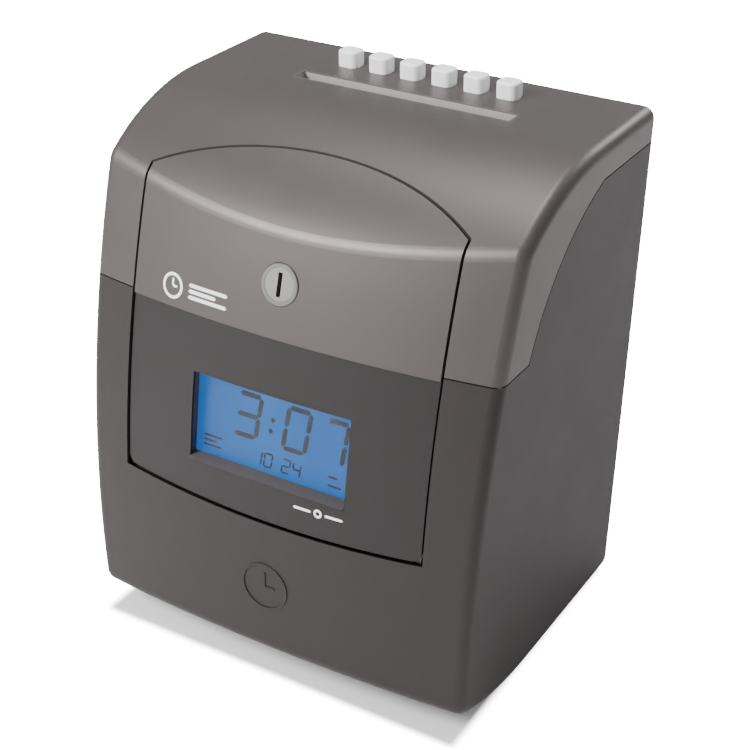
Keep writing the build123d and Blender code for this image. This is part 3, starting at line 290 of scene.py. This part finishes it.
# %% Every other CAD node
STEEL = dict(rough=0.34, metallic=1.0, grain=0.6, grain_depth=0.10, drift=0.10)
BOARD = dict(rough=0.38, grain=0.9, grain_depth=0.25, drift=0.14)
BLACK = dict(rough=0.5, grain=0.4, grain_depth=0.2, drift=0.15)
FINISHES = {
    "rear_cover": ((0.060, 0.055, 0.054), dict(rough=0.55, grain_depth=0.25)),
    "cover_screws": ((0.55, 0.55, 0.54), STEEL),
    "rubber_feet": ((0.02, 0.02, 0.02), dict(rough=0.8, grain=0.5, grain_depth=0.35)),
    "slot_insert": ((0.33, 0.31, 0.31), dict(rough=0.5, grain_depth=0.12)),
    "key_board": ((0.02, 0.12, 0.06), BOARD),
    "tact_switches": ((0.03, 0.03, 0.03), BLACK),
    "latch_keeper": ((0.55, 0.55, 0.53), STEEL),
    "side_plate_left": ((0.56, 0.56, 0.54), STEEL),
    "side_plate_right": ((0.55, 0.56, 0.55), STEEL),
    "chassis_base": ((0.54, 0.54, 0.53), STEEL),
    "display_bracket": ((0.53, 0.53, 0.52), STEEL),
    "lcd_board": ((0.02, 0.13, 0.07), BOARD),
    "chute_front": ((0.57, 0.57, 0.56), STEEL),
    "chute_back": ((0.55, 0.55, 0.54), STEEL),
    "card_stop": ((0.05, 0.05, 0.05), BLACK),
    "feed_motor": ((0.42, 0.42, 0.42), STEEL),
    "idler_pin": ((0.6, 0.6, 0.6), STEEL),
    "pinch_bracket": ((0.5, 0.5, 0.5), STEEL),
    "shaft_bushes": ((0.42, 0.27, 0.10), dict(rough=0.4, metallic=1.0, grain=0.4, grain_depth=0.3)),
    "guide_rods": ((0.7, 0.7, 0.7), dict(rough=0.18, metallic=1.0, grain=1.2, grain_depth=0.03)),
    "platen": ((0.03, 0.03, 0.03), dict(rough=0.7, grain=0.3, grain_depth=0.3)),
    "head_motor": ((0.40, 0.40, 0.41), STEEL),
    "motor_bracket": ((0.5, 0.5, 0.5), STEEL),
    "idler_bracket": ((0.5, 0.5, 0.5), STEEL),
    "drive_belt": ((0.02, 0.02, 0.02), dict(rough=0.65, grain=0.6, grain_depth=0.4)),
    "ribbon_cartridge": ((0.035, 0.035, 0.04), BLACK),
    "ink_ribbon": ((0.015, 0.015, 0.03), dict(rough=0.85, grain=0.15, grain_depth=0.5)),
    "main_board": ((0.02, 0.12, 0.06), BOARD),
    "power_jack": ((0.02, 0.02, 0.02), BLACK),
    "backup_battery": ((0.04, 0.12, 0.35), dict(rough=0.3, grain=2.0, grain_depth=0.2)),
    "window_bezel": ((0.050, 0.043, 0.043), dict(rough=0.42, grain_depth=0.08)),
    "hinge_pins": ((0.6, 0.6, 0.6), STEEL),
    "lock_body": ((0.15, 0.14, 0.135), dict(rough=0.36, metallic=0.7, grain=0.5, grain_depth=0.05)),
    "lock_nut": ((0.5, 0.5, 0.48), STEEL),
    "lock_plug": ((0.21, 0.20, 0.195), dict(rough=0.36, metallic=0.7, grain=0.5, grain_depth=0.05)),
    "lock_cam": ((0.55, 0.55, 0.54), STEEL),
    "feed_shaft": ((0.65, 0.65, 0.65), STEEL),
    "feed_rollers": ((0.04, 0.04, 0.04), dict(rough=0.75, grain=0.3, grain_depth=0.4)),
    "feed_gear": ((0.72, 0.71, 0.66), dict(rough=0.4, grain=0.8, grain_depth=0.08)),
    "idler_gear": ((0.70, 0.70, 0.66), dict(rough=0.4, grain=0.8, grain_depth=0.08)),
    "motor_pinion": ((0.60, 0.42, 0.16), dict(rough=0.28, metallic=1.0, grain=0.4, grain_depth=0.05)),
    "pinch_shaft": ((0.65, 0.65, 0.65), STEEL),
    "pinch_rollers": ((0.62, 0.62, 0.58), dict(rough=0.4, grain=0.6, grain_depth=0.08)),
    "head_carriage": ((0.04, 0.04, 0.042), BLACK),
    "print_head": ((0.05, 0.05, 0.055), dict(rough=0.4, metallic=0.5, grain=0.5, grain_depth=0.15)),
    "drive_pulley": ((0.6, 0.6, 0.57), dict(rough=0.4, grain=0.6, grain_depth=0.08)),
    "idler_pulley": ((0.6, 0.6, 0.57), dict(rough=0.4, grain=0.6, grain_depth=0.08)),
    "ribbon_knob": ((0.05, 0.18, 0.42), dict(rough=0.42, grain=0.4, grain_depth=0.12)),
}
for node, (colour, look) in FINISHES.items():
    dress(node, finish(node + "_finish", colour, **look))
key_plastic = finish("key_white", (0.93, 0.94, 0.95), rough=0.34, grain=0.4, grain_depth=0.05, drift=0.01)
for number in range(1, 7):
    dress(f"key_{number}", key_plastic)
print("finishes:", len(FINISHES) + 4)

# %% [markdown]
# ## The slot insert
# The insert's rim is painted like the hood and the funnel below it is bare plastic. The two could
# be separate slots, but they meet at a level, so comparing Z with that level is enough.

# %% The slot insert in two tones
RIM_DEPTH = 0.3 * MM


def two_tone(material, rim, level):
    """Paints the rim colour above a level, and leaves the funnel below it in its own tone."""
    tree = material.node_tree
    shader = tree.nodes["Principled BSDF"]
    funnel = shader.inputs["Base Color"].links[0].from_socket
    place = tree.nodes.new("ShaderNodeTexCoord")
    axes = tree.nodes.new("ShaderNodeSeparateXYZ")
    tree.links.new(place.outputs["Object"], axes.inputs["Vector"])
    above = tree.nodes.new("ShaderNodeMath")
    above.operation = "GREATER_THAN"
    above.inputs[1].default_value = level
    tree.links.new(axes.outputs["Z"], above.inputs[0])
    blend = tree.nodes.new("ShaderNodeMix")
    blend.data_type = "RGBA"
    blend.inputs["B"].default_value = (*rim, 1)
    tree.links.new(above.outputs["Value"], blend.inputs["Factor"])
    tree.links.new(funnel, blend.inputs["A"])
    tree.links.new(blend.outputs["Result"], shader.inputs["Base Color"])


slot_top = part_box("slot_insert")[1].z
two_tone(bpy.data.materials["slot_insert_finish"], (0.075, 0.066, 0.065), slot_top - RIM_DEPTH)
print("slot rim at", round(slot_top, 4))

# %% [markdown]
# ## The lit display
# Behind the clear lens lies a liquid crystal cell, lit from behind by blue diodes. The light is a
# little uneven, palest in the middle of the glass, so the colour is worked out from the position
# across it. An image could be used, but a ramp stays sharp and needs no file. The emission is just
# strong enough to read as lit, and hardly lights its surroundings.

# %% Backlit cell
def backlight(name):
    """Blue along the ramp at t = (x - low) / (high - low) + noise / 4, palest near t = 0.55."""
    material = bpy.data.materials.new(name)
    material.use_nodes = True
    tree = material.node_tree
    shader = tree.nodes["Principled BSDF"]
    place = tree.nodes.new("ShaderNodeTexCoord")
    axes = tree.nodes.new("ShaderNodeSeparateXYZ")
    tree.links.new(place.outputs["Object"], axes.inputs["Vector"])
    low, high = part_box("lcd_glass")
    slope = tree.nodes.new("ShaderNodeMapRange")
    slope.inputs["From Min"].default_value = low.x
    slope.inputs["From Max"].default_value = high.x
    tree.links.new(axes.outputs["X"], slope.inputs["Value"])
    cloud = tree.nodes.new("ShaderNodeTexNoise")
    cloud.inputs["Scale"].default_value = 30.0
    tree.links.new(place.outputs["Object"], cloud.inputs["Vector"])
    blend = tree.nodes.new("ShaderNodeMath")
    blend.operation = "MULTIPLY_ADD"
    blend.inputs[1].default_value = 0.25
    tree.links.new(cloud.outputs["Fac"], blend.inputs[0])
    tree.links.new(slope.outputs["Result"], blend.inputs[2])
    ramp = tree.nodes.new("ShaderNodeValToRGB")
    ramp.color_ramp.elements[0].position = 0.1
    ramp.color_ramp.elements[0].color = (0.020, 0.120, 0.43, 1)
    ramp.color_ramp.elements[1].position = 1.1
    ramp.color_ramp.elements[1].color = (0.022, 0.135, 0.47, 1)
    middle = ramp.color_ramp.elements.new(0.55)
    middle.color = (0.030, 0.165, 0.50, 1)
    tree.links.new(blend.outputs["Value"], ramp.inputs["Fac"])
    tree.links.new(ramp.outputs["Color"], shader.inputs["Emission Color"])
    shader.inputs["Base Color"].default_value = (0.008, 0.025, 0.06, 1)
    shader.inputs["Emission Strength"].default_value = 1.0
    shader.inputs["Roughness"].default_value = 0.45
    shader.inputs["Specular IOR Level"].default_value = 0.15
    return material


dress("lcd_glass", backlight("display_backlight"))

# %% [markdown]
# ## The clear lens
# The lens is thin acrylic. A Glass shader would do, but the principled shader with full
# transmission takes the same recipe. Its index is set low, so that the thick-looking bend of a solid
# block doesn't shift the digits behind it.

# %% Clear lens


def clear_plastic(name):
    """Thin acrylic: fully transmitting, with a faint unevenness in its polish."""
    material = finish(name, (0.97, 0.98, 1.0), rough=0.06, grain=2.0, grain_depth=0.01, drift=0.01)
    shader = material.node_tree.nodes["Principled BSDF"]
    shader.inputs["Transmission Weight"].default_value = 1.0
    shader.inputs["IOR"].default_value = 1.12
    return material


dress("display_lens", clear_plastic("window_acrylic"))

# %% [markdown]
# ## Digits, prints and the raised mark
# The display's digits are dark bars in the liquid crystal layer, and the small white marks are pad
# printed. Text objects could draw them, but bars worked out from a seven-segment table are cleaner
# and need no typeface. Each mark is a set of flat outlines, given a hair of thickness and laid on
# its surface by a function, so that the same code serves the flat glass and the bowed door.

# %% Outlines and how they are laid on a surface
def laid_outlines(name, outlines, place, body, material, lift=0.02, thickness=0.08):
    """Prisms over n outlines of k corners: place(u, v, w) puts both their lids at heights w."""
    count, corners = outlines.shape[:2]
    heights = np.array([lift, lift + thickness])
    u, v = outlines[..., 0], outlines[..., 1]
    points = np.stack([place(u, v, w) for w in heights], 1).reshape(-1, 3)
    start = (np.arange(count) * 2 * corners)[:, None]
    ring = np.arange(corners)
    top = start + corners + ring
    bottom = start + ring[::-1]
    following = (ring + 1) % corners
    sides = np.stack(
        [start + ring, start + following, start + corners + following, start + corners + ring], -1)
    mesh = bpy.data.meshes.new(name)
    mesh.from_pydata(points.tolist(), [], top.tolist() + bottom.tolist() + sides.reshape(-1, 4).tolist())
    mesh.materials.append(material)
    piece = bpy.data.objects.new(name, mesh)
    bpy.context.scene.collection.objects.link(piece)
    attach(piece, body)
    print(name, "outlines:", count)
    return piece


def bar_outlines(starts, ends, width):
    """Six-cornered bars: the two end points, and two corners set in from each by half the width."""
    starts, ends = np.atleast_2d(starts), np.atleast_2d(ends)
    along = (ends - starts) / np.linalg.norm(ends - starts, axis=1, keepdims=True) * width / 2
    across = np.stack([-along[:, 1], along[:, 0]], -1)
    return np.stack([starts, starts + along - across, ends - along - across, ends,
                     ends - along + across, starts + along + across], 1)


def ring_outlines(centre, radius, width, start=0.0, sweep=360.0, pieces=40):
    """An arc of six-cornered pieces between radius less and plus half the width."""
    angle = np.radians(start + np.linspace(0, sweep, 2 * pieces + 1))
    circle = np.stack([np.cos(angle), np.sin(angle)], -1)
    inner, outer = circle * (radius - width / 2) + centre, circle * (radius + width / 2) + centre
    return np.stack([inner[:-1:2], outer[:-1:2], outer[1::2], outer[2::2], inner[2::2], inner[1::2]], 1)


# %% The display's digits
# Each segment's two ends in a unit box, clockwise from the top and with the middle bar last.
SEGMENT_ENDS = np.array([
    [[0, 1], [1, 1]], [[1, 1], [1, 0.5]], [[1, 0.5], [1, 0]], [[0, 0], [1, 0]],
    [[0, 0], [0, 0.5]], [[0, 0.5], [0, 1]], [[0, 0.5], [1, 0.5]],
])
LIT = {"0": [0, 1, 2, 3, 4, 5], "1": [1, 2], "2": [0, 1, 6, 4, 3], "3": [0, 1, 6, 2, 3],
       "4": [5, 6, 1, 2], "7": [0, 1, 2]}
SLANT, JOINT_GAP = 0.12, 0.18


def digit_outlines(figure, corner, width, height, stroke):
    """The lit bars of one figure: each is shortened by JOINT_GAP strokes, and x gains SLANT * y."""
    ends = SEGMENT_ENDS[LIT[figure]] * [width, height]
    middle = ends.mean(1, keepdims=True)
    length = np.linalg.norm(ends[:, 1] - ends[:, 0], axis=1)[:, None, None]
    ends = middle + (ends - middle) * (1 - JOINT_GAP * stroke / length)
    bars = bar_outlines(ends[:, 0], ends[:, 1], stroke)
    bars[..., 0] += bars[..., 1] * SLANT
    return bars + corner


# %% Where the display glass lies
WINDOW_TILT, GLASS_FACE = math.radians(9.5), 1.3
glass_low, glass_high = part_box("lcd_glass")
GLASS_MIDDLE = (np.array(glass_low) + np.array(glass_high)) / 2
GLASS_OUT = np.array([0, -math.cos(WINDOW_TILT), math.sin(WINDOW_TILT)])
GLASS_UP = np.array([0, math.sin(WINDOW_TILT), math.cos(WINDOW_TILT)])
GLASS_ACROSS = np.array([1.0, 0, 0])


def on_glass(u, v, w):
    """middle + u across + v up + (w + face) out: w millimetres in front of the tilted glass."""
    out = (np.asarray(w)[..., None] + GLASS_FACE) * GLASS_OUT
    return GLASS_MIDDLE + MM * (u[..., None] * GLASS_ACROSS + v[..., None] * GLASS_UP + out)


print("glass middle:", np.round(GLASS_MIDDLE / MM, 1), "mm")

# %% The time and date on the glass
TIME_LINE, TIME_HEIGHT, TIME_STROKE = -4.1, 16.2, 1.9
DATE_LINE, DATE_WIDTH, DATE_HEIGHT, DATE_STROKE = -13.8, 3.2, 5.3, 0.7
digit_ink = finish("display_ink", (0.012, 0.014, 0.020), rough=0.5, grain=0.5, grain_depth=0.05)
time_bars = np.concatenate([
    *[digit_outlines(figure, (left, TIME_LINE), width, TIME_HEIGHT, TIME_STROKE)
      for figure, left, width in (("3", -18.4, 9.6), ("0", 3.1, 9.3), ("7", 18.8, 9.3))],
    bar_outlines([[-2.9, 5.0], [-3.6, 0.6]], [[-0.6, 5.0], [-1.3, 0.6]], 2.3),
])
date_bars = np.concatenate([
    *[digit_outlines(figure, (left, DATE_LINE), DATE_WIDTH, DATE_HEIGHT, DATE_STROKE)
      for figure, left in (("1", -9.2), ("0", -4.6), ("2", 3.2), ("4", 7.8))],
    bar_outlines([[-31.5, -12.6], [-31.5, -10.7], [-31.5, -8.8]],
                 [[-23.5, -12.6], [-25.5, -10.7], [-23.0, -8.8]], 0.8),
    bar_outlines([[23.0, -12.8], [23.0, -9.4]], [[29.0, -12.8], [27.0, -9.4]], 0.8),
])
for label, outlines in (("display_time", time_bars), ("display_date", date_bars)):
    piece = laid_outlines(label, outlines, on_glass, "housing", digit_ink)

# %% [markdown]
# ## The ledge under the display
# A deep window has a sloping foot, so that dust and glare don't gather on it. It is a wedge of six
# corners that rides on the door with the bezel. A cube could be cut to this, but six points laid in
# the glass's own axes need no cutting.

# %% The sloping ledge along the foot of the window
LEDGE_HALF, LEDGE_FOOT, LEDGE_RISE = 33.5, -17.0, 1.65
LEDGE_FRONT, LEDGE_REAR = 7.2, 1.9
ledge_u = np.array([[-LEDGE_HALF] * 3, [LEDGE_HALF] * 3])
ledge_v = np.tile([LEDGE_FOOT, LEDGE_FOOT, LEDGE_FOOT + LEDGE_RISE], (2, 1))
ledge_w = np.tile([LEDGE_FRONT, LEDGE_REAR, LEDGE_REAR], (2, 1))
ledge_points = on_glass(ledge_u, ledge_v, ledge_w).reshape(-1, 3)
ledge_mesh = bpy.data.meshes.new("window_ledge")
ledge_mesh.from_pydata(
    ledge_points.tolist(), [], [[0, 1, 2], [5, 4, 3], [0, 3, 4, 1], [1, 4, 5, 2], [2, 5, 3, 0]])
ledge_mesh.materials.append(
    finish("ledge_dark_satin", (0.060, 0.052, 0.051), rough=0.42, grain_depth=0.08))
ledge = bpy.data.objects.new("window_ledge", ledge_mesh)
bpy.context.scene.collection.objects.link(ledge)
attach(ledge, "door")
print("ledge:", len(ledge_points), "corners")

# %% [markdown]
# ## Marks on the bowed front
# Pad printing leaves a film of ink on the door, and the base carries a shallow raised ring. All three
# marks are plain shapes. A decal image could carry them, but shapes laid on the front's own formula
# stay sharp and give the raised ring a real edge.

# %% The bowed front as a formula
FRONT_RADIUS, FRONT_Y, FRONT_Z, BOW_Y = 479.3, 410.6, 27.5, 451.0


def on_front(inset):
    """Lays (x, z) on the bowed front: an arc in section, turned about a far upright axis, so
    m = c - sqrt((r - inset + lift)^2 - (z - cz)^2) and y = b - sqrt((b - m)^2 - x^2)."""
    def place(x, z, lift):
        middle = FRONT_Y - np.sqrt((FRONT_RADIUS - inset + lift) ** 2 - (z - FRONT_Z) ** 2)
        y = BOW_Y - np.sqrt((BOW_Y - middle) ** 2 - x**2)
        return MM * np.stack([x, y, z], -1)
    return place


print("front at the marks:", on_front(0.0)(0.0, 150.0, 0.0).round(4))

# %% Marks printed on the door
PRINTED = dict(lift=0.01, thickness=0.06)
PANEL_INSET, PANEL_MARK_Z = 0.7, 83.6
print_white = finish("print_white", (0.86, 0.86, 0.86), rough=0.5, grain=0.3, grain_depth=0.05, drift=0.02)
DIAL = np.array([-46.0, 150.6])
door_marks = np.concatenate([
    ring_outlines(DIAL, 4.1, 1.1),
    bar_outlines([DIAL, DIAL], [DIAL + [0, 2.9], DIAL + [2.2, 0]], 0.9),
    bar_outlines([[-38.6, 152.7], [-38.6, 150.6], [-38.6, 148.5]],
                 [[-21.0, 152.7], [-26.0, 150.6], [-21.0, 148.5]], 1.3),
])
piece = laid_outlines("door_pictogram", door_marks, on_front(0.0), "door", print_white, **PRINTED)
panel_marks = np.concatenate([
    bar_outlines([[13.0, PANEL_MARK_Z], [26.0, PANEL_MARK_Z]],
                 [[20.5, PANEL_MARK_Z], [33.5, PANEL_MARK_Z]], 1.0),
    ring_outlines(np.array([23.25, PANEL_MARK_Z]), 1.25, 0.9, pieces=24),
])
piece = laid_outlines(
    "panel_mark", panel_marks, on_front(PANEL_INSET), "door", print_white, **PRINTED)

# %% The mark raised on the base
SEAL = np.array([1.5, 45.5])
RAISED = dict(lift=-0.2, thickness=0.55)
seal_marks = np.concatenate([
    ring_outlines(SEAL, 9.6, 0.9, pieces=64),
    bar_outlines([SEAL, SEAL], [SEAL + [0, 6.4], SEAL + [4.6, 0]], 0.9),
])
piece = laid_outlines("base_seal", seal_marks, on_front(0.0), "housing", base_plastic, **RAISED)
